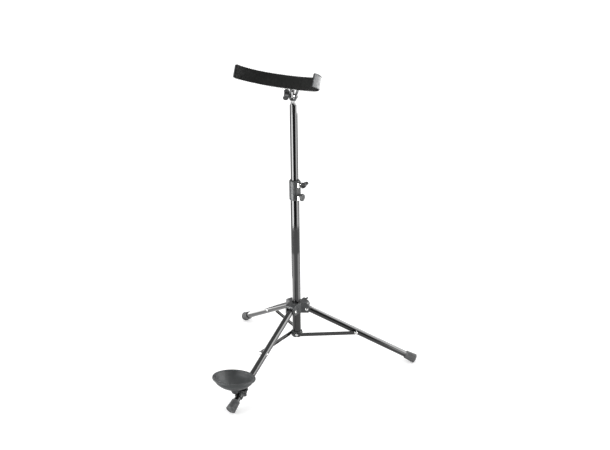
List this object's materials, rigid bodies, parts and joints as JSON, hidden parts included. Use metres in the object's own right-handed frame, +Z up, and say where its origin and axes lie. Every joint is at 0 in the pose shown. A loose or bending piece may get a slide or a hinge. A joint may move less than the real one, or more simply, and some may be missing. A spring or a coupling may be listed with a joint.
{
  "type": "folding saxophone stand",
  "caption": "Folding tripod stand: sliding hub and braced legs, height-adjustable mast with a tilting padded curved rest, and a low round cup on the front leg.",
  "frame": {"origin": "middle of the bounding box on the floor; the column axis stands 88.1 mm behind it (+Y)", "axes": "+Z up along the column; the front leg with the cup points along -Y; +X is the side the clamp screws are on"},
  "size_m": [0.5544, 0.5105, 0.8024],
  "materials": {
    "lacquer": "gloss black stoved lacquer on steel",
    "grey_plastic": "satin dark grey moulding",
    "black_plastic": "satin black moulding",
    "rubber": "dull dark rubber",
    "zinc": "bright zinc plated steel",
    "grey_paint": "satin dark grey paint on steel",
    "black_fastener": "black oxide steel",
    "pad_cloth": "black velour over foam"
  },
  "bodies": {
    "column": {"lower_tube": "lacquer", "column_plug": "black_plastic", "base_bracket": "grey_plastic", "base_rivets": "zinc", "collar": "grey_plastic", "clamp_nuts": "zinc"},
    "height_screw": {"height_stud": "zinc", "height_wing": "grey_plastic"},
    "collar_lock": {"collar_screw": "zinc", "collar_knob": "grey_plastic"},
    "hub": {"hub": "grey_plastic", "hub_pins": "zinc"},
    "hub_screw": {"hub_stud": "zinc", "hub_wing": "grey_plastic"},
    "mast_guide": {"mast_plug": "black_plastic"},
    "mast": {"upper_tube": "lacquer", "tilt_bolt": "black_fastener", "tilt_spacers": "zinc"},
    "tilt_nut": {"tilt_wing": "grey_plastic"},
    "head": {"yoke": "grey_paint", "rest_band": "grey_paint", "rest_pad": "pad_cloth", "band_rivets": "black_fastener"},
    "cup_slider": {"cup_clamp": "grey_plastic", "cup_bolt": "black_fastener"},
    "cup": {"cup_bowl": "grey_plastic", "cup_stem": "grey_plastic"},
    "cup_nut": {"cup_wing": "grey_plastic"},
    "leg_f": {"leg_tube_f": "lacquer", "leg_top_f": "black_plastic", "leg_rivet_f": "zinc", "foot_f": "rubber"},
    "brace_f": {"strut_f": "lacquer", "strut_rivet_f": "zinc"},
    "leg_r": {"leg_tube_r": "lacquer", "leg_top_r": "black_plastic", "leg_rivet_r": "zinc", "foot_r": "rubber"},
    "brace_r": {"strut_r": "lacquer", "strut_rivet_r": "zinc"},
    "leg_b": {"leg_tube_b": "lacquer", "leg_top_b": "black_plastic", "leg_rivet_b": "zinc", "foot_b": "rubber"},
    "brace_b": {"strut_b": "lacquer", "strut_rivet_b": "zinc"}
  },
  "joints": [
    {"name": "hub_slide", "type": "slide", "parent": "column", "child": "hub", "axis": [0, 0, 1], "range_m": [0, 0.2251]},
    {"name": "leg_fold_f", "type": "hinge", "parent": "hub", "child": "leg_f", "pos_m": [0, 0.0614, 0.1595], "axis": [1, 0, 0], "range_deg": [0, 62.32]},
    {"name": "strut_fold_f", "type": "hinge", "parent": "column", "child": "brace_f", "pos_m": [0, 0.0881, 0.0869], "axis": [-1, 0, 0], "range_deg": [0, 78.22]},
    {"name": "leg_fold_r", "type": "hinge", "parent": "hub", "child": "leg_r", "pos_m": [0.02312, 0.10145, 0.1595], "axis": [-0.5, 0.866, 0], "range_deg": [0, 62.32]},
    {"name": "strut_fold_r", "type": "hinge", "parent": "column", "child": "brace_r", "pos_m": [0, 0.0881, 0.0869], "axis": [0.5, -0.866, 0], "range_deg": [0, 78.22]},
    {"name": "leg_fold_b", "type": "hinge", "parent": "hub", "child": "leg_b", "pos_m": [-0.02312, 0.10145, 0.1595], "axis": [-0.5, -0.866, 0], "range_deg": [0, 62.32]},
    {"name": "strut_fold_b", "type": "hinge", "parent": "column", "child": "brace_b", "pos_m": [0, 0.0881, 0.0869], "axis": [0.5, 0.866, 0], "range_deg": [0, 78.22]},
    {"name": "mast_height", "type": "slide", "parent": "column", "child": "mast_guide", "axis": [0, 0, 1], "range_m": [-0.175, 0.14]},
    {"name": "mast_swivel", "type": "hinge", "parent": "mast_guide", "child": "mast", "pos_m": [0, 0.0881, 0.28], "axis": [0, 0, 1], "continuous": true},
    {"name": "head_tilt", "type": "hinge", "parent": "mast", "child": "head", "pos_m": [0, 0.0881, 0.722], "axis": [1, 0, 0], "range_deg": [-25, 21.4]},
    {"name": "tilt_nut_turn", "type": "hinge", "parent": "mast", "child": "tilt_nut", "pos_m": [-0.012, 0.0881, 0.722], "axis": [1, 0, 0], "continuous": true},
    {"name": "height_screw_turn", "type": "hinge", "parent": "column", "child": "height_screw", "pos_m": [0.02, 0.0881, 0.4985], "axis": [1, 0, 0], "continuous": true},
    {"name": "collar_lock_turn", "type": "hinge", "parent": "column", "child": "collar_lock", "pos_m": [0.02, 0.0881, 0.4648], "axis": [1, 0, 0], "continuous": true},
    {"name": "hub_screw_turn", "type": "hinge", "parent": "hub", "child": "hub_screw", "pos_m": [0, 0.1181, 0.167], "axis": [0, 1, 0], "continuous": true},
    {"name": "cup_slide", "type": "slide", "parent": "leg_f", "child": "cup_slider", "axis": [0, -0.8851, -0.4653], "range_m": [-0.104, 0.007]},
    {"name": "cup_tilt", "type": "hinge", "parent": "cup_slider", "child": "cup", "pos_m": [0, -0.18488, 0.04687], "axis": [1, 0, 0], "range_deg": [-6, 14]},
    {"name": "cup_nut_turn", "type": "hinge", "parent": "cup_slider", "child": "cup_nut", "pos_m": [0.012, -0.18488, 0.04687], "axis": [1, 0, 0], "continuous": true}
  ],
  "couplings": [
    {"joint": "leg_fold_f", "follows": "hub_slide", "rad_per_m": 4.8281},
    {"joint": "strut_fold_f", "follows": "hub_slide", "rad_per_m": 6.0608},
    {"joint": "leg_fold_r", "follows": "hub_slide", "rad_per_m": 4.8281},
    {"joint": "strut_fold_r", "follows": "hub_slide", "rad_per_m": 6.0608},
    {"joint": "leg_fold_b", "follows": "hub_slide", "rad_per_m": 4.8281},
    {"joint": "strut_fold_b", "follows": "hub_slide", "rad_per_m": 6.0608}
  ]
}
